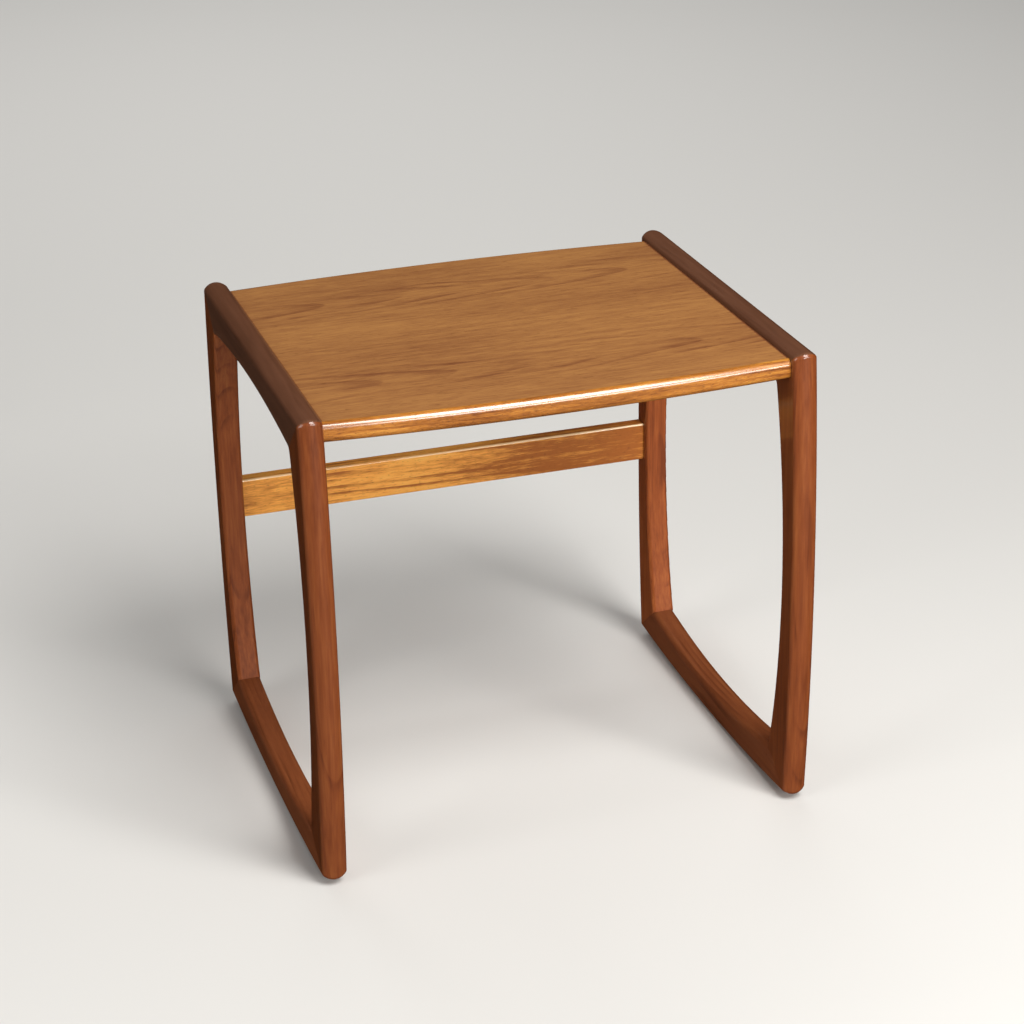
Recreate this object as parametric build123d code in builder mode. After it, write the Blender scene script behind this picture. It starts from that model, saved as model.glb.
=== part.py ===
from build123d import *
import os
from math import atan2, degrees, sqrt

# One table of a nest: two closed side frames that carry a lipped, veneered panel and a rear
# stretcher. +X runs from the left frame to the right one, +Y from front to back and +Z up.
# The origin is on the floor, midway between the frames and midway from front to back.

os.makedirs("parts", exist_ok=True)

# overall sizes, in mm
table_width = 512
table_depth = 443
table_height = 490

# side frames: each member has flat sides and a crowned outer face
member_width = 25
crown_rise = 5.5
arris_radius = 5  # between the crown and the flat sides
corner_radius = 5  # where the crowns of two members meet
inner_edge_radius = 4  # on the legs and top rails, around the opening
runner_edge_radius = 6  # on the runners, around the opening
inner_corner_radius = 5  # at the two upper corners of the opening
waist = 32  # thickness of each member at the middle of its length
leg_outer_bow = 11  # how far a leg bows outwards between its ends
leg_inner_bow = 24.5  # how far the opening bows into a leg
rail_inner_bow = 10.5
runner_outer_bow = 10
runner_inner_bow = 13.5
runner_flat = 2  # planed off the lowest part of the runner, so that it stands firm

# panel between the frames
panel_drop = 8  # from the crest of the top rails down to the panel's upper face
panel_thickness = 20
veneer_thickness = 0.8
lipping_width = 7
lipping_top_radius = 6.8
lipping_under_radius = 7
lipping_end_inset = 20  # from the front of the legs back to the lipping's ends
panel_bow = 11  # how far each lipping bows outwards at the middle

# rear stretcher
stretcher_thickness = 17
stretcher_height = 43
stretcher_underside = 224
stretcher_setback = 7.5  # behind the inner face of the rear legs
stretcher_edge_radius = 2
stretcher_end_radius = 0.8

# dowels and the holes that take them
dowel_diameter = 8
dowel_chamfer = 0.8
dowel_fit = 0.1  # radial room for glue
glue_room = 1.5  # left at one end of each dowel
corner_dowel_length = 20
corner_dowel_places = (0.3, 0.6)  # along the mitre, from the inner corner to the outer one
rail_dowel_length = 32
rail_dowel_depth = 12  # of it, in the side frame
panel_dowel_spacing = 130
stretcher_dowel_spacing = 24

# places that follow from the sizes above
half_width = table_width / 2
half_depth = table_depth / 2
frame_inner_x = half_width - member_width
frame_centre_x = half_width - member_width / 2
opening_half_depth = half_depth - waist
opening_corner_y = opening_half_depth - leg_inner_bow
opening_top_z = table_height - waist - rail_inner_bow
opening_bottom_z = waist + runner_inner_bow
outer_corner_y = half_depth - leg_outer_bow
outer_bottom_z = runner_outer_bow - runner_flat
panel_top_z = table_height - panel_drop
panel_middle_z = panel_top_z - panel_thickness / 2
stretcher_front_y = opening_half_depth + stretcher_setback
stretcher_middle_y = stretcher_front_y + stretcher_thickness / 2
stretcher_middle_z = stretcher_underside + stretcher_height / 2

up = Vector(0, 0, 1)
back = Vector(0, 1, 0)
right = Vector(1, 0, 0)
from_base = (Align.CENTER, Align.CENTER, Align.MIN)


def arc_radius(half_chord, bow):
    return (half_chord**2 + bow**2) / (2 * bow)


# Section across a member, with the crest of its crown at the plane's origin
def crowned_section(plane, depth):
    half = member_width / 2
    with BuildSketch(plane) as section:
        with BuildLine():
            Polyline((half, -crown_rise), (half, -depth), (-half, -depth), (-half, -crown_rise))
            ThreePointArc((-half, -crown_rise), (0, 0), (half, -crown_rise))
        make_face()
    return section.sketch


# Solid behind a crowned face whose crest is an arc in the YZ plane, furthest out at crest
def bowed_block(crest, outward, bow, half_chord, depth):
    radius = arc_radius(half_chord, bow)
    reach = degrees(atan2(1.4 * half_chord, radius))
    hub = crest - outward * radius
    start = outward.rotate(Axis.X, -reach)
    plane = Plane(origin=hub + start * radius, x_dir=right, z_dir=right.cross(start))
    with BuildPart() as block:
        revolve(crowned_section(plane, depth), Axis(hub, right), revolution_arc=2 * reach)
    return block.part


# Outline of a side frame's opening: four arcs that bow out into the members
def opening_outline(plane):
    top, bottom = opening_top_z, opening_bottom_z
    corner, side = opening_corner_y, opening_half_depth
    middle = (top + bottom) / 2
    with BuildSketch(plane) as outline:
        with BuildLine():
            ThreePointArc((-corner, bottom), (-side, middle), (-corner, top))
            ThreePointArc((-corner, top), (0, top + rail_inner_bow), (corner, top))
            ThreePointArc((corner, top), (side, middle), (corner, bottom))
            ThreePointArc((corner, bottom), (0, bottom - runner_inner_bow), (-corner, bottom))
        make_face()
        fillet(outline.vertices().group_by(Axis.Y)[-1], inner_corner_radius)
    return outline.sketch


# Side frame in one piece, before it is parted at the mitres
def frame_blank(centre_x):
    middle = Vector(centre_x, 0, table_height / 2)
    lowest = Vector(centre_x, 0, -runner_flat)
    past = 1.5 * max(table_depth, table_height)
    front = bowed_block(middle - back * half_depth, -back, leg_outer_bow, table_height / 2, past)
    rear = bowed_block(middle + back * half_depth, back, leg_outer_bow, table_height / 2, past)
    below = bowed_block(lowest, -up, runner_outer_bow, half_depth, past)
    top_end = Plane(origin=(centre_x, past, table_height), x_dir=right, z_dir=-back)
    with BuildPart() as blank:
        extrude(crowned_section(top_end, past), 2 * past)
        add(front, mode=Mode.INTERSECT)
        add(rear, mode=Mode.INTERSECT)
        add(below, mode=Mode.INTERSECT)
        side_faces = blank.faces().filter_by(Axis.X)
        side_edges = side_faces.edges()
        fillet(blank.edges().filter_by(lambda edge: edge not in side_edges), corner_radius)
        fillet(blank.faces().filter_by(Axis.X).edges(), arris_radius)
        extrude(opening_outline(Plane.YZ.offset(centre_x)), member_width, both=True, mode=Mode.SUBTRACT)
        split(bisect_by=Plane.XY, keep=Keep.TOP)
    return blank.part


# Corner of a side frame: the two ends of its mitre, y towards the back and z up
def mitre_ends(y_side, z_side):
    inner_z = opening_top_z if z_side > 0 else opening_bottom_z
    outer_z = table_height if z_side > 0 else outer_bottom_z
    return Vector(0, y_side * opening_corner_y, inner_z), Vector(0, y_side * outer_corner_y, outer_z)


# Prism that holds one member, bounded by the mitres at its two ends
def member_wedge(centre_x, corners):
    reach = []
    for corner in corners:
        inner, outer = mitre_ends(*corner)
        run = outer - inner
        reach.append((inner - run * 0.4, inner + run * 4))
    (near_1, far_1), (near_2, far_2) = reach
    with BuildPart() as wedge:
        with BuildSketch(Plane.YZ.offset(centre_x)):
            with BuildLine():
                Polyline([(point.Y, point.Z) for point in (near_1, far_1, far_2, near_2)], close=True)
            make_face()
        extrude(amount=member_width, both=True)
    return wedge.part

# Planes on a mitre where its dowels cross it, facing the leg
def corner_dowel_planes(centre_x, y_side, z_side):
    inner, outer = mitre_ends(y_side, z_side)
    towards_leg = right.cross(outer - inner).normalized() * (-y_side * z_side)
    return [
        Plane(origin=inner + (outer - inner) * place + right * centre_x, z_dir=towards_leg)
        for place in corner_dowel_places
    ]


# Planes on a side frame's inner face where the panel's dowels enter it, facing the frame
def panel_dowel_planes(x_side):
    rows = (-panel_dowel_spacing, 0, panel_dowel_spacing)
    return [
        Plane(origin=(x_side * frame_inner_x, y, panel_middle_z), z_dir=right * x_side)
        for y in rows
    ]


# Planes on a rear leg's inner face where the stretcher's dowels enter it, facing the leg
def stretcher_dowel_planes(x_side):
    rows = (-stretcher_dowel_spacing / 2, stretcher_dowel_spacing / 2)
    return [
        Plane(
            origin=(x_side * frame_inner_x, stretcher_middle_y, stretcher_middle_z + z),
            z_dir=right * x_side,
        )
        for z in rows
    ]


# One dowel along the plane's normal, reaching ahead of the plane by depth
def dowel(plane, length, depth):
    with BuildPart(plane.offset(depth - length)) as pin:
        Cylinder(dowel_diameter / 2, length, align=from_base)
        chamfer(pin.edges().filter_by(GeomType.CIRCLE), dowel_chamfer)
    return pin.part


# Hole along the plane's normal, from the plane to depth
def dowel_hole(plane, depth):
    with BuildPart(plane) as hole:
        Cylinder(dowel_diameter / 2 + dowel_fit, depth, align=from_base)
    return hole.part


# Edges where a member's curved inner face meets its flat sides
def inner_edges(member):
    inner_faces = member.faces().filter_by(GeomType.CYLINDER).filter_by(
        lambda face: abs(face.axis_of_rotation.direction.X) > 0.99
    )
    return inner_faces.edges().filter_by(Axis.X, reverse=True)


pieces = {}

# Side frames: each is parted at its four mitres, and dowels cross the mitres
members = {
    "top_rail": ((-1, 1), (1, 1)),
    "front_leg": ((-1, 1), (-1, -1)),
    "rear_leg": ((1, 1), (1, -1)),
    "runner": ((-1, -1), (1, -1)),
}
corner_names = {
    (-1, 1): "front_top",
    (1, 1): "rear_top",
    (-1, -1): "front_bottom",
    (1, -1): "rear_bottom",
}
for side_name, x_side in (("left", -1), ("right", 1)):
    centre_x = x_side * frame_centre_x
    blank = frame_blank(centre_x)
    for member_name, corners in members.items():
        is_leg = member_name.endswith("leg")
        edge_radius = runner_edge_radius if member_name == "runner" else inner_edge_radius
        depth = corner_dowel_length / 2 + (0 if is_leg else glue_room)
        holes = []
        for corner in corners:
            for plane in corner_dowel_planes(centre_x, *corner):
                facing = plane if is_leg else Plane(origin=plane.origin, z_dir=-plane.z_dir)
                holes.append(dowel_hole(facing, depth))
        if member_name == "top_rail":
            holes += [dowel_hole(plane, rail_dowel_depth) for plane in panel_dowel_planes(x_side)]
        if member_name == "rear_leg":
            holes += [dowel_hole(plane, rail_dowel_depth) for plane in stretcher_dowel_planes(x_side)]
        with BuildPart() as member:
            add(blank)
            add(member_wedge(centre_x, corners), mode=Mode.INTERSECT)
            fillet(inner_edges(member), edge_radius)
            add(holes, mode=Mode.SUBTRACT)
        pieces[f"{side_name}_{member_name}"] = member.part
    for corner, corner_name in corner_names.items():
        with BuildPart() as corner_dowels:
            for plane in corner_dowel_planes(centre_x, *corner):
                add(dowel(plane, corner_dowel_length, corner_dowel_length / 2))
        pieces[f"{side_name}_{corner_name}_dowels"] = corner_dowels.part
    for dowels_name, planes in (
        ("panel_dowels", panel_dowel_planes(x_side)),
        ("stretcher_dowels", stretcher_dowel_planes(x_side)),
    ):
        with BuildPart() as rail_dowels:
            for plane in planes:
                add(dowel(plane, rail_dowel_length, rail_dowel_depth))
        pieces[f"{side_name}_{dowels_name}"] = rail_dowels.part

# Holes that the panel and the stretcher share: from the frame's face into the rail
rail_hole_depth = rail_dowel_length - rail_dowel_depth + glue_room


def end_holes(planes_of):
    return [
        dowel_hole(Plane(origin=plane.origin, z_dir=-plane.z_dir), rail_hole_depth)
        for x_side in (-1, 1)
        for plane in planes_of(x_side)
    ]


# Panel: a core between two veneers, with a lipping glued along its front and rear edges
lipping_radius = arc_radius(frame_inner_x, panel_bow)
lipping_hub_y = half_depth - lipping_end_inset + panel_bow - lipping_radius


def panel_outline(plane):
    joint_radius = lipping_radius - lipping_width
    middle_y = lipping_hub_y + joint_radius
    end_y = lipping_hub_y + sqrt(joint_radius**2 - frame_inner_x**2)
    with BuildSketch(plane) as outline:
        with BuildLine():
            ThreePointArc((-frame_inner_x, -end_y), (0, -middle_y), (frame_inner_x, -end_y))
            Line((frame_inner_x, -end_y), (frame_inner_x, end_y))
            ThreePointArc((frame_inner_x, end_y), (0, middle_y), (-frame_inner_x, end_y))
            Line((-frame_inner_x, end_y), (-frame_inner_x, -end_y))
        make_face()
    return outline.sketch


panel_under_z = panel_top_z - panel_thickness
layers = {
    "panel_underside_veneer": (panel_under_z, veneer_thickness),
    "panel_core": (panel_under_z + veneer_thickness, panel_thickness - 2 * veneer_thickness),
    "panel_top_veneer": (panel_top_z - veneer_thickness, veneer_thickness),
}
for layer_name, (base_z, thickness) in layers.items():
    with BuildPart() as layer:
        extrude(panel_outline(Plane.XY.offset(base_z)), thickness)
        if layer_name == "panel_core":
            add(end_holes(panel_dowel_planes), mode=Mode.SUBTRACT)
    pieces[layer_name] = layer.part

for lipping_name, outward in (("front_lipping", -back), ("rear_lipping", back)):
    hub = outward * lipping_hub_y
    reach = degrees(atan2(1.1 * frame_inner_x, lipping_radius))
    start = outward.rotate(Axis.Z, -reach)
    section_plane = Plane(
        origin=hub + start * (lipping_radius - lipping_width) + up * panel_top_z,
        x_dir=start,
        z_dir=start.cross(up),
    )
    with BuildSketch(section_plane) as section:
        with BuildLine():
            Polyline(
                (0, 0),
                (lipping_width, 0),
                (lipping_width, -panel_thickness),
                (0, -panel_thickness),
                close=True,
            )
        make_face()
        outer = section.vertices().group_by(Axis.X)[-1]
        fillet(outer.sort_by(Axis.Y)[-1], lipping_top_radius)
        outer = section.vertices().group_by(Axis.Y)[0]
        fillet(outer.sort_by(Axis.X)[-1], lipping_under_radius)
    with BuildPart() as lipping:
        revolve(section.sketch, Axis(hub, up), revolution_arc=2 * reach)
        split(bisect_by=Plane.YZ.offset(frame_inner_x), keep=Keep.BOTTOM)
        split(bisect_by=Plane.YZ.offset(-frame_inner_x), keep=Keep.TOP)
    pieces[lipping_name] = lipping.part

# Rear stretcher, with eased edges along it and at its ends
with BuildPart() as stretcher:
    with BuildSketch(Plane.YZ.offset(-frame_inner_x)):
        with Locations((stretcher_middle_y, stretcher_middle_z)):
            RectangleRounded(stretcher_thickness, stretcher_height, stretcher_edge_radius)
    extrude(amount=2 * frame_inner_x)
    ends = stretcher.faces().filter_by(Axis.X)
    fillet(ends.edges(), stretcher_end_radius)
    add(end_holes(stretcher_dowel_planes), mode=Mode.SUBTRACT)
pieces["rear_stretcher"] = stretcher.part

for name, piece in pieces.items():
    piece.label = name
    export_step(piece, f"parts/{name}.step")
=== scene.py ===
from math import pi, radians

import bmesh
import bpy
from mathutils import Matrix, Vector


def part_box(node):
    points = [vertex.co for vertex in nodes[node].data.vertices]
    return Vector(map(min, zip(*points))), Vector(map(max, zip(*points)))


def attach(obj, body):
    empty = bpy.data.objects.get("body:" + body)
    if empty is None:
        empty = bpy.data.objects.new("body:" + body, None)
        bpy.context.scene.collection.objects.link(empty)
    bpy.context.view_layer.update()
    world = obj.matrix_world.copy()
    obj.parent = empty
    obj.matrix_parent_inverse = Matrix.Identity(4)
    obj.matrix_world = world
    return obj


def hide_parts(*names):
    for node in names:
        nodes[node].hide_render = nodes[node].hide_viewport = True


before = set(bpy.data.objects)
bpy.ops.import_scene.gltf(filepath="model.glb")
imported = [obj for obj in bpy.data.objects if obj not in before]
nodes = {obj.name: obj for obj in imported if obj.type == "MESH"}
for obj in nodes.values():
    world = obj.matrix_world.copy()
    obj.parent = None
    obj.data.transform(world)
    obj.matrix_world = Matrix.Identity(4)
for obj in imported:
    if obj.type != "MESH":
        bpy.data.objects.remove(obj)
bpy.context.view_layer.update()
print("frame:", len(nodes), "pieces loaded")

scene = bpy.context.scene
scene.view_settings.view_transform = "Standard"

sides = ("left", "right")
rightAngle = pi / 2


class Wire:  # one output socket, to be used in an expression
    def __init__(self, graph, socket):
        self.graph = graph
        self.socket = socket

    def __add__(self, other):
        return self.graph.combine("ADD", self, other)

    def __radd__(self, other):
        return self.graph.combine("ADD", other, self)

    def __sub__(self, other):
        return self.graph.combine("SUBTRACT", self, other)

    def __rsub__(self, other):
        return self.graph.combine("SUBTRACT", other, self)

    def __mul__(self, other):
        return self.graph.combine("MULTIPLY", self, other)

    def __truediv__(self, other):
        return self.graph.combine("DIVIDE", self, other)

    def __pow__(self, other):
        return self.graph.combine("POWER", self, other)

    def __abs__(self):
        return self.graph.combine("ABSOLUTE", self, 0)


class Graph:  # a node tree, filled from Python
    def __init__(self, tree):
        self.tree = tree
        tree.nodes.clear()

    def add(self, kind, settings=None, values=None, out=0):
        node = self.tree.nodes.new(kind)
        for name, value in (settings or {}).items():
            if name == "stops":
                self.setStops(node.color_ramp.elements, value)
            else:
                setattr(node, name, value)
        for key, value in (values or {}).items():
            if isinstance(value, Wire):
                self.tree.links.new(value.socket, node.inputs[key])
            else:
                node.inputs[key].default_value = value
        return Wire(self, node.outputs[out]) if len(node.outputs) else node

    def setStops(self, elements, stops):
        while len(elements) < len(stops):
            elements.new(0.5)
        for element, (place, colour) in zip(elements, stops):
            element.position = place
            element.color = (*colour, 1)

    def combine(self, operation, first, second):
        both = (first, second)
        isVector = [
            len(one) == 3 if isinstance(one, tuple)
            else isinstance(one, Wire) and one.socket.type == "VECTOR"
            for one in both
        ]
        if not any(isVector):
            return self.add("ShaderNodeMath", {"operation": operation}, {0: first, 1: second})
        if all(isVector):
            return self.add("ShaderNodeVectorMath", {"operation": operation}, {0: first, 1: second})
        vector, number = both if isVector[0] else both[::-1]
        return self.add("ShaderNodeVectorMath", {"operation": "SCALE"}, {0: vector, "Scale": number})

    def smooth(self, value, low, high):  # 0 below low, 1 above high
        return self.add(
            "ShaderNodeMapRange", {"interpolation_type": "SMOOTHSTEP"},
            {"Value": value, "From Min": low, "From Max": high},
        )

    def mixColours(self, factor, first, second, how="MIX"):
        return self.add(
            "ShaderNodeMix", {"data_type": "RGBA", "blend_type": how},
            {0: factor, 6: first, 7: second}, 2,
        )


# turns that lay the grain along the pattern's own X
grainTurns = {"X": (0, 0, 0), "Y": (0, 0, -rightAngle), "Z": (0, rightAngle, 0)}

woodDefaults = {
    "grain": "X",
    "shift": (0, 0, 0),        # slides the pattern, in metres
    "dark": (0.20, 0.060, 0.018),
    "mid": (0.34, 0.110, 0.034),
    "light": (0.46, 0.165, 0.050),
    "poreColour": (0.10, 0.030, 0.010),
    "streakLength": 0.16,      # slow changes of tone
    "streakWidth": 0.007,
    "streakDepth": 0.9,
    "fibreLength": 0.035,      # the fine lines of the grain
    "fibreWidth": 0.0011,
    "fibreDepth": 0.55,
    "poreLength": 0.007,       # short open pores
    "poreWidth": 0.0009,
    "poreAmount": 0.34,
    "poreDepth": 0.45,
    "ringSpacing": 0.006,      # growth rings, cut by the surface
    "ringDepth": 0.35,
    "ringLine": (0.35, 0.93),  # from pale to dark within one ring
    "ringShow": (0.40, 0.68),  # rings come and go along the grain
    "pithAcross": 0.05,
    "pithDepth": 0.09,
    "ringTaper": 0.02,
    "wander": 0.006,
    "ribbonLength": 0.05,      # lighter and darker bands of interlocked grain
    "ribbonWidth": 0.012,
    "ribbonDepth": 0.0,
    "roughness": 0.42,
    "roughnessSpread": 0.10,
    "specular": 0.35,
    "coat": 0.30,
    "coatRoughness": 0.12,
    "coatIor": 1.5,
    "bump": 0.12,
    "bumpDistance": 0.0004,
    "crownFade": (0.022, 0.055),     # rings fade out this far from the middle of a crown
    "arrisHighlightFade": (0.0008, 0.0018),   # and the painted highlight this far from its arris
}


def makeWood(name, **changes):
    look = {**woodDefaults, **changes}
    material = bpy.data.materials.new(name)
    material.use_nodes = True
    graph = Graph(material.node_tree)

    def noise(along, across, detail=2.0, roughness=0.5, slide=0.0):
        spread = grainPlace * (1 / along, 1 / across, 1 / across) + (slide, slide * 1.7, slide * 0.6)
        return graph.add(
            "ShaderNodeTexNoise", {"noise_dimensions": "3D"},
            {"Vector": spread, "Scale": 1.0, "Detail": detail, "Roughness": roughness},
        )

    surface = graph.add("ShaderNodeTexCoord", {}, {}, "Object")
    grainPlace = graph.add(
        "ShaderNodeMapping", {"vector_type": "POINT"},
        {"Vector": surface, "Rotation": grainTurns[look["grain"]], "Location": look["shift"]},
    )
    split = graph.add("ShaderNodeSeparateXYZ", {}, {"Vector": grainPlace})
    along, across, depth = (Wire(graph, socket) for socket in split.socket.node.outputs)

    drift = (noise(0.22, 0.05, 2, 0.5, 3.1) - 0.5) * look["wander"]
    if look.get("leaves"):  # two leaves of veneer, each with its own crown of rings
        pithAway = abs(across) - look["leaves"]
    else:
        pithAway = across - look["pithAcross"]
    radius = ((pithAway + drift) ** 2 + (depth - look["pithDepth"]) ** 2) ** 0.5
    ringPlace = (radius + along * look["ringTaper"] + drift * 0.6) / look["ringSpacing"]
    ringPhase = graph.add("ShaderNodeMath", {"operation": "FRACT"}, {0: ringPlace})
    lateWood = graph.smooth(ringPhase, *look["ringLine"]) * (1 - graph.smooth(ringPhase, 0.94, 1.0))
    ringShow = graph.smooth(noise(0.12, 0.02, 1, 0.5, 7.7), *look["ringShow"])
    if look.get("leaves"):
        ringShow = ringShow * (1 - graph.smooth(abs(pithAway), *look["crownFade"]))
    rings = lateWood * ringShow

    streak = noise(look["streakLength"], look["streakWidth"], 3, 0.55, 0.0)
    fibre = noise(look["fibreLength"], look["fibreWidth"], 3, 0.6, 11.0)
    poreCell = noise(look["poreLength"], look["poreWidth"], 1, 0.4, 23.0)
    poreTop = 0.5 + 0.5 * (1 - look["poreAmount"])
    pores = graph.smooth(poreCell, poreTop - 0.16, poreTop)
    ribbon = noise(look["ribbonLength"], look["ribbonWidth"], 2, 0.5, 31.0)
    cloud = noise(0.30, 0.09, 2, 0.5, 41.0)

    tone = (
        0.5
        + (streak - 0.5) * look["streakDepth"]
        + (fibre - 0.5) * look["fibreDepth"]
        + (ribbon - 0.5) * look["ribbonDepth"]
        + (cloud - 0.5) * 0.5
        - rings * look["ringDepth"]
    )
    if look.get("darkEnd"):  # one end of the board is darker
        start, end, amount = look["darkEnd"]
        tone = tone - graph.smooth(along, start, end) * amount
    if look.get("darkJoints"):  # painted shadow where both ends meet the rails
        start, end, amount = look["darkJoints"]
        tone = tone - graph.smooth(abs(along), start, end) * amount
    stops = [(0.12, look["dark"]), (0.5, look["mid"]), (0.88, look["light"])]
    colour = graph.add("ShaderNodeValToRGB", {"stops": stops}, {"Fac": tone})
    colour = graph.mixColours(pores * look["poreDepth"], colour, (*look["poreColour"], 1))
    if look.get("paleArris"):  # painted highlight along one arris, at this Y and Z
        arrisY, arrisZ = look["paleArris"]
        away = ((across - arrisY) ** 2 + (depth - arrisZ) ** 2) ** 0.5
        pale = (1 - graph.smooth(away, *look["arrisHighlightFade"])) * graph.smooth(streak, 0.30, 0.55)
        colour = graph.mixColours(pale * 0.8, colour, (*look["arrisColour"], 1))

    gloss = (
        look["roughness"]
        + (fibre - 0.5) * look["roughnessSpread"]
        + (cloud - 0.5) * look["roughnessSpread"]
        + pores * 0.10
    )
    height = fibre * 0.5 - pores * 0.8
    relief = graph.add(
        "ShaderNodeBump", {},
        {"Height": height, "Strength": look["bump"], "Distance": look["bumpDistance"]},
    )
    wood = graph.add(
        "ShaderNodeBsdfPrincipled", {},
        {
            "Base Color": colour, "Roughness": gloss, "Normal": relief,
            "Coat Weight": look["coat"], "Coat Roughness": look["coatRoughness"],
            "Coat IOR": look["coatIor"], "Specular IOR Level": look["specular"],
        },
    )
    graph.add("ShaderNodeOutputMaterial", {}, {"Surface": wood})
    return material


legColours = {
    "dark": (0.134, 0.028, 0.0055), "mid": (0.221, 0.0515, 0.010), "light": (0.294, 0.083, 0.0175),
}
legPlaces = {  # brightness, slide along the leg, then Y and X of the middle of the rings
    "left_front": (0.84, 0.30, -0.186, -0.2475), "right_front": (0.95, 0.95, -0.182, 0.2375),
    "left_rear": (1.08, 1.62, 0.216, -0.2410), "right_rear": (1.42, 2.30, 0.226, 0.2460),
}
# painted shade: the rails get a darker copy of the legs' wood, standing in for the shade on their upward
# crowns
topRailShadedWood = makeWood(
    "topRailShadedWood", grain="Y", shift=(0.1, 0.05, 0),
    dark=(0.076, 0.030, 0.015), mid=(0.120, 0.048, 0.025), light=(0.162, 0.070, 0.038),
    streakDepth=0.6, ringDepth=0.2, specular=0.20,
)
runnerWood = makeWood(
    "runnerWood", grain="Y", shift=(0.7, 0.11, 0),
    dark=(0.120, 0.032, 0.010), mid=(0.192, 0.054, 0.018), light=(0.260, 0.084, 0.028),
    streakDepth=0.6, specular=0.12, coat=0.10,
)
lippingWood = makeWood(
    "lippingWood", shift=(0.2, 0.31, 0.1),
    dark=(0.200, 0.055, 0.008), mid=(0.460, 0.165, 0.022), light=(0.720, 0.330, 0.050),
    streakDepth=0.7, ribbonDepth=0.5, ribbonWidth=0.010, ribbonLength=0.05,
    fibreLength=0.012, fibreDepth=0.9, poreLength=0.0035, poreAmount=0.50, poreDepth=0.6,
    roughness=0.36, coat=1.0, coatRoughness=0.20, coatIor=1.9,
)
# painted light: the stretcher's colours are pushed near white to stand in for light that the panel keeps
# off it, and a painted highlight runs along its top front arris
stretcherPaintedLightWood = makeWood(
    "stretcherPaintedLightWood", shift=(0.5, 0, 0), paleArris=(0.1976, 0.2664), arrisColour=(1.0, 0.74, 0.42),
    dark=(0.400, 0.120, 0.020), mid=(0.960, 0.410, 0.068), light=(1.000, 0.560, 0.120),
    streakDepth=0.6, ribbonDepth=0.5, ribbonWidth=0.011, ribbonLength=0.07,
    fibreLength=0.015, fibreDepth=0.8, poreLength=0.005, poreAmount=0.48, poreDepth=0.5,
    darkEnd=(0.46, 0.66, 0.30), roughness=0.36, coat=1.0, coatRoughness=0.14, coatIor=1.6,
)
topVeneer = makeWood(
    "topVeneer",
    dark=(0.168, 0.056, 0.022), mid=(0.312, 0.136, 0.044), light=(0.436, 0.208, 0.062),
    leaves=0.115, pithDepth=0.462, ringTaper=0.13, ringSpacing=0.0110, ringDepth=0.22,
    ringShow=(0.36, 0.60), wander=0.014, streakLength=0.14, streakWidth=0.007, streakDepth=0.45,
    fibreLength=0.022, fibreWidth=0.0012, fibreDepth=0.95,
    poreAmount=0.44, poreDepth=0.40, poreLength=0.009, poreWidth=0.0012,
    darkJoints=(0.2285, 0.2310, 0.9), roughness=0.45, coat=0.0, bump=0.08, specular=0.12,
)
undersideVeneer = makeWood(
    "undersideVeneer", shift=(0.4, 0.2, 0),
    dark=(0.12, 0.045, 0.020), mid=(0.21, 0.085, 0.036), light=(0.28, 0.12, 0.05),
    roughness=0.55, coat=0.0, ringDepth=0.2,
)
dowelWood = makeWood(
    "dowelWood",
    dark=(0.42, 0.27, 0.14), mid=(0.58, 0.40, 0.22), light=(0.68, 0.50, 0.30),
    poreColour=(0.35, 0.20, 0.10), roughness=0.6, coat=0.0, ringDepth=0.1,
)
coreBoard = makeWood(
    "coreBoard",
    dark=(0.30, 0.18, 0.09), mid=(0.48, 0.33, 0.19), light=(0.62, 0.47, 0.30),
    streakLength=0.004, streakWidth=0.004, fibreLength=0.002, fibreWidth=0.002,
    poreLength=0.003, poreWidth=0.003, roughness=0.8, coat=0.0, ringDepth=0.0, bump=0.4,
)


def coat(node, material):
    slots = nodes[node].data.materials
    slots.clear()
    slots.append(material)


for leg, (brightness, slide, pithY, pithX) in legPlaces.items():
    colours = {
        stop: tuple(channel * brightness for channel in colour) for stop, colour in legColours.items()
    }
    legWood = makeWood(
        leg.replace("_", "") + "Wood", grain="Z", shift=(slide, 0, 0), **colours,
        pithAcross=pithY, pithDepth=-pithX, ringTaper=0.035, ringDepth=0.30,
        ringLine=(0.70, 0.93), ringShow=(0.46, 0.62), streakWidth=0.005, streakDepth=0.8,
        fibreLength=0.05, fibreWidth=0.0020, fibreDepth=0.9, coat=0.9, coatRoughness=0.09,
    )
    coat(leg + "_leg", legWood)
for side in sides:
    coat(f"{side}_top_rail", topRailShadedWood)
    coat(f"{side}_runner", runnerWood)
for node in nodes:
    if node.endswith("dowels"):
        coat(node, dowelWood)
coat("panel_top_veneer", topVeneer)
coat("panel_underside_veneer", undersideVeneer)
coat("panel_core", coreBoard)
coat("rear_stretcher", stretcherPaintedLightWood)
print("materials: laid on the frame's own pieces")


# a rounded section, swept along a bowed line
lippingSizes = {
    "bow": 0.011,          # how far the middle stands out beyond the ends
    "width": 0.007,        # from the glue line to the nose
    "topRound": 0.0068,
    "underRound": 0.007,
    "roundSteps": 10,
    "lengthSteps": 96,
    "weldDistance": 0.00001,
    "sharpAngle": 30,      # degrees
}


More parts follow.
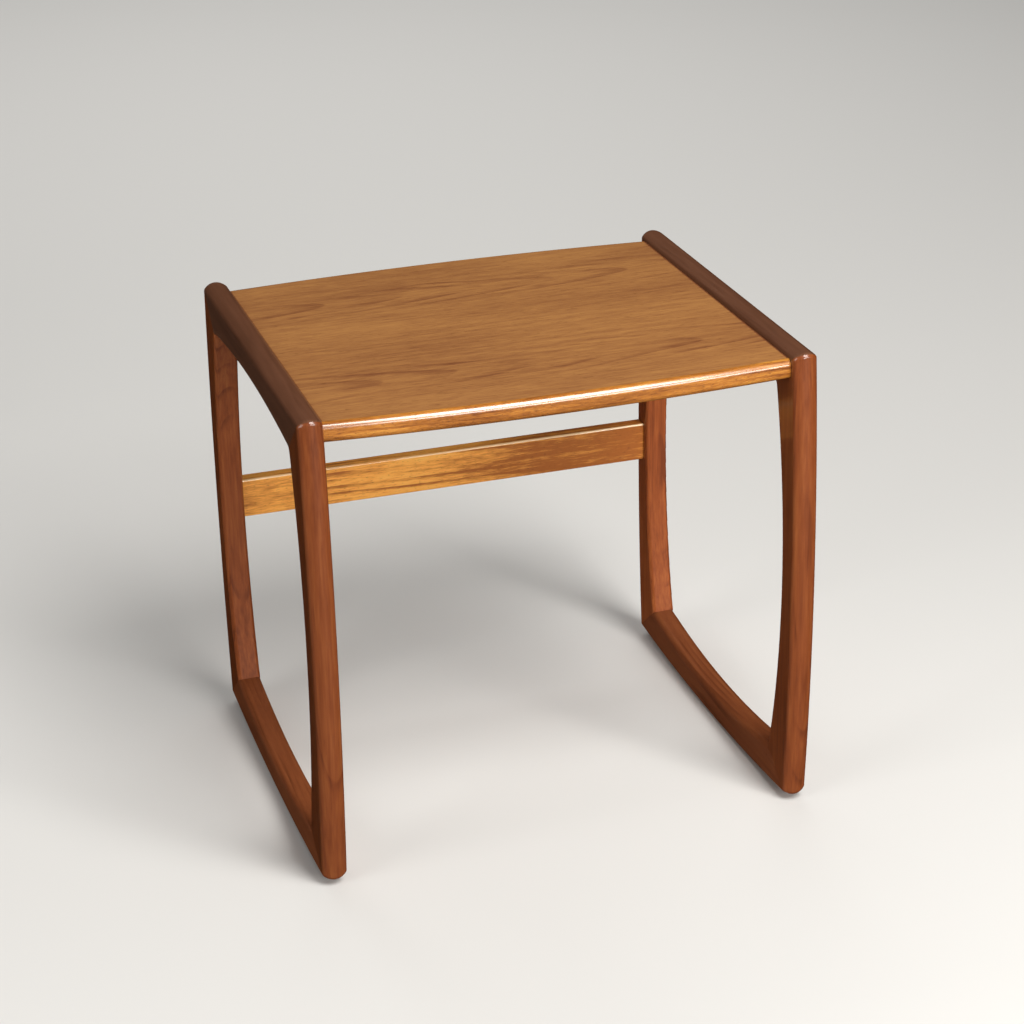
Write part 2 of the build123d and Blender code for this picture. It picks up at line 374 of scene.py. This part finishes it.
def makeLippingTree():
    tree = bpy.data.node_groups.new("lippingSweep", "GeometryNodeTree")
    inputs = (
        ("Half Length", "NodeSocketFloat"), ("Glue Line Radius", "NodeSocketFloat"),
        ("Hub", "NodeSocketFloat"), ("Facing", "NodeSocketFloat"), ("Underside", "NodeSocketFloat"),
        ("Width", "NodeSocketFloat"), ("Thickness", "NodeSocketFloat"),
        ("Top Round", "NodeSocketFloat"), ("Under Round", "NodeSocketFloat"),
        ("Round Steps", "NodeSocketInt"), ("Length Steps", "NodeSocketInt"),
        ("Wood", "NodeSocketMaterial"),
    )
    for name, kind in inputs:
        tree.interface.new_socket(name, in_out="INPUT", socket_type=kind)
    tree.interface.new_socket("Geometry", in_out="OUTPUT", socket_type="NodeSocketGeometry")
    graph = Graph(tree)
    entry = graph.add("NodeGroupInput").socket.node
    size = {name: Wire(graph, entry.outputs[name]) for name, kind in inputs}

    def corner(out, up):
        return graph.add("ShaderNodeCombineXYZ", {}, {0: out, 1: up})

    def isCorner(number):
        index = graph.add("GeometryNodeInputIndex")
        return graph.add("ShaderNodeMath", {"operation": "COMPARE"}, {0: index, 1: number, 2: 0.1})

    square = graph.add(
        "GeometryNodeCurvePrimitiveQuadrilateral", {"mode": "POINTS"},
        {
            "Point 1": corner(0.0, 0.0), "Point 2": corner(size["Width"], 0.0),
            "Point 3": corner(size["Width"], size["Thickness"]), "Point 4": corner(0.0, size["Thickness"]),
        },
    )
    rounds = size["Under Round"] * isCorner(1) + size["Top Round"] * isCorner(2)
    section = graph.add(
        "GeometryNodeFilletCurve", {"mode": "POLY"},
        {"Curve": square, "Count": size["Round Steps"], "Radius": rounds},
    )
    here = graph.add("GeometryNodeInputPosition")
    section = graph.add(
        "GeometryNodeStoreNamedAttribute", {"data_type": "FLOAT_VECTOR", "domain": "POINT"},
        {"Geometry": section, "Name": "section", "Value": here},
    )
    line = graph.add(
        "GeometryNodeCurvePrimitiveLine", {},
        {
            "Start": graph.add("ShaderNodeCombineXYZ", {}, {0: size["Half Length"] * -1}),
            "End": graph.add("ShaderNodeCombineXYZ", {}, {0: size["Half Length"]}),
        },
    )
    line = graph.add("GeometryNodeResampleCurve", {}, {"Curve": line, "Count": size["Length Steps"]})
    line = graph.add(
        "GeometryNodeStoreNamedAttribute", {"data_type": "FLOAT_VECTOR", "domain": "POINT"},
        {"Geometry": line, "Name": "run", "Value": here},
    )
    bar = graph.add(
        "GeometryNodeCurveToMesh", {}, {"Curve": line, "Profile Curve": section, "Fill Caps": True}
    )
    bar = graph.add(
        "GeometryNodeMergeByDistance", {},
        {"Geometry": bar, "Distance": lippingSizes["weldDistance"]},
    )

    def stored(name):
        found = graph.add("GeometryNodeInputNamedAttribute", {"data_type": "FLOAT_VECTOR"}, {"Name": name})
        parts = graph.add("ShaderNodeSeparateXYZ", {}, {"Vector": found}).socket.node
        return Wire(graph, parts.outputs[0]), Wire(graph, parts.outputs[1])

    out, up = stored("section")
    run = stored("run")[0]
    reach = ((size["Glue Line Radius"] + out) ** 2 - run ** 2) ** 0.5 + size["Hub"]
    place = graph.add(
        "ShaderNodeCombineXYZ", {}, {0: run, 1: reach * size["Facing"], 2: up + size["Underside"]}
    )
    bar = graph.add("GeometryNodeSetPosition", {}, {"Geometry": bar, "Position": place})
    bar = graph.add("GeometryNodeRealizeInstances", {}, {"Geometry": bar})
    bar = graph.add("GeometryNodeSetMaterial", {}, {"Geometry": bar, "Material": size["Wood"]})
    graph.add("NodeGroupOutput", {}, {"Geometry": bar})
    return tree


def runTree(name, tree, values):  # a plain mesh object made by a geometry tree
    start = bpy.data.objects.new(name + "Start", bpy.data.meshes.new(name + "Start"))
    scene.collection.objects.link(start)
    modifier = start.modifiers.new("build", "NODES")
    modifier.node_group = tree
    for socket in tree.interface.items_tree:
        if socket.in_out == "INPUT":
            modifier[socket.identifier] = values[socket.name]
    bpy.context.view_layer.update()
    depsgraph = bpy.context.evaluated_depsgraph_get()
    mesh = bpy.data.meshes.new_from_object(start.evaluated_get(depsgraph))
    bpy.data.objects.remove(start)
    shape = bmesh.new()
    shape.from_mesh(mesh)
    bmesh.ops.remove_doubles(shape, verts=shape.verts, dist=lippingSizes["weldDistance"])
    bmesh.ops.recalc_face_normals(shape, faces=shape.faces)
    shape.to_mesh(mesh)
    shape.free()
    mesh.shade_smooth()
    mesh.set_sharp_from_angle(angle=radians(lippingSizes["sharpAngle"]))
    mesh.name = name
    piece = bpy.data.objects.new(name, mesh)
    scene.collection.objects.link(piece)
    return piece


lippingTree = makeLippingTree()
for node, facing in (("front_lipping", -1.0), ("rear_lipping", 1.0)):
    low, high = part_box(node)
    halfLength = (high.x - low.x) / 2
    nose = max(abs(low.y), abs(high.y))
    noseRadius = (halfLength ** 2 + lippingSizes["bow"] ** 2) / (2 * lippingSizes["bow"])
    lipping = runTree(node + "_sweep", lippingTree, {
        "Half Length": halfLength,
        "Glue Line Radius": noseRadius - lippingSizes["width"],
        "Hub": nose - noseRadius,
        "Facing": facing,
        "Underside": low.z,
        "Width": lippingSizes["width"],
        "Thickness": high.z - low.z,
        "Top Round": lippingSizes["topRound"],
        "Under Round": lippingSizes["underRound"],
        "Round Steps": lippingSizes["roundSteps"],
        "Length Steps": lippingSizes["lengthSteps"],
        "Wood": lippingWood,
    })
    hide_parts(node)
    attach(lipping, "root")
    print("lipping:", node, "swept,", len(lipping.data.polygons), "faces")


studio = {
    "floorSize": 30,
    "floorColour": (0.70, 0.70, 0.69),
    "airColour": (0.80, 0.79, 0.77),
    "airStrength": 0.16,
    "lights": {  # place, what it is aimed at, width, height, power and tint
        "keyLight": ((0.62, -1.7, 2.45), (0, 0, 0.25), 1.2, 1.8, 86, (1, 0.97, 0.93)),
        "frontLight": ((1.2, -3.4, 1.2), (0, 0, 0.25), 2.4, 0.8, 62, (1, 0.97, 0.93)),
        "leftLight": ((-3.0, -1.2, 1.6), (0, 0, 0.25), 1.6, 1.6, 30, (1, 0.98, 0.95)),
        "backLight": ((0.4, 3.2, 3.0), (0.4, 3.4, 0), 3.4, 3.4, 75, (1, 0.98, 0.95)),
    },
}

floorMesh = bpy.data.meshes.new("floor")
half = studio["floorSize"] / 2
floorCorners = [(-half, -half, 0), (half, -half, 0), (half, half, 0), (-half, half, 0)]
floorMesh.from_pydata(floorCorners, [], [(0, 1, 2, 3)])
floor = bpy.data.objects.new("floor", floorMesh)
scene.collection.objects.link(floor)
floor.visible_glossy = False  # the wood does not mirror it
floorPaint = bpy.data.materials.new("floorPaint")
floorPaint.use_nodes = True
paintGraph = Graph(floorPaint.node_tree)
paint = paintGraph.add(
    "ShaderNodeBsdfPrincipled", {},
    {"Base Color": (*studio["floorColour"], 1), "Roughness": 0.75, "Specular IOR Level": 0.2},
)
paintGraph.add("ShaderNodeOutputMaterial", {}, {"Surface": paint})
floorMesh.materials.append(floorPaint)

world = bpy.data.worlds.new("studioAir")
scene.world = world
world.cycles_visibility.glossy = False
world.use_nodes = True
airGraph = Graph(world.node_tree)
air = airGraph.add(
    "ShaderNodeBackground", {},
    {"Color": (*studio["airColour"], 1), "Strength": studio["airStrength"]},
)
airGraph.add("ShaderNodeOutputWorld", {}, {"Surface": air})

for name, (place, aim, width, height, power, tint) in studio["lights"].items():
    lamp = bpy.data.lights.new(name, "AREA")
    lamp.shape = "RECTANGLE"
    lamp.size = width
    lamp.size_y = height
    lamp.energy = power
    lamp.color = tint
    light = bpy.data.objects.new(name, lamp)
    light.location = place
    light.visible_glossy = name != "backLight"
    light.rotation_euler = (Vector(aim) - light.location).to_track_quat("-Z", "Y").to_euler()
    scene.collection.objects.link(light)

cameraSetup = {
    "place": (-0.7176, -2.3161, 1.3462),
    "turn": 17.463,    # degrees to the right of +Y
    "dip": 23.825,     # degrees below level
    "roll": -1.237,
    "lens": 90.22,
}
cameraData = bpy.data.cameras.new("camera")
cameraData.lens = cameraSetup["lens"]
cameraData.sensor_width = 36
camera = bpy.data.objects.new("camera", cameraData)
camera.matrix_world = (
    Matrix.Translation(cameraSetup["place"])
    @ Matrix.Rotation(-radians(cameraSetup["turn"]), 4, "Z")
    @ Matrix.Rotation(rightAngle - radians(cameraSetup["dip"]), 4, "X")
    @ Matrix.Rotation(radians(cameraSetup["roll"]), 4, "Z")
)
scene.collection.objects.link(camera)
scene.camera = camera
print("studio: floor, lights and camera in place")
